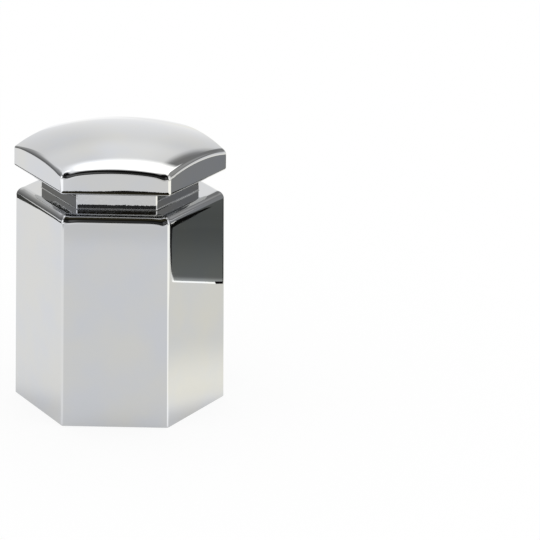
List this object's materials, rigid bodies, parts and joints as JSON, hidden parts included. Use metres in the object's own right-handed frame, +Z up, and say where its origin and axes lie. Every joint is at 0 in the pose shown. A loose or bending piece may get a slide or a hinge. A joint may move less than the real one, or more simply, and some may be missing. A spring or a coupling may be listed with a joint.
{
  "type": "wheel nut cover cap",
  "caption": "Chrome-plated push-on cover cap for a wheel nut: tapered hexagonal body, hexagonal neck and an overhanging hexagonal head with a domed crown.",
  "frame": {"origin": "middle of the open rim, in the plane that it stands on", "axes": "+Z up along the axis from the rim to the crown, +X through two corners of every hexagon, -Y out of a flat"},
  "size_m": [0.0444, 0.0386, 0.0594],
  "materials": {
    "plated_cap": "bright chrome plate over moulded ABS on the outside, the rim and the lead-in, bare black ABS in the bore"
  },
  "bodies": {
    "root": {"cap": "plated_cap"}
  },
  "joints": []
}
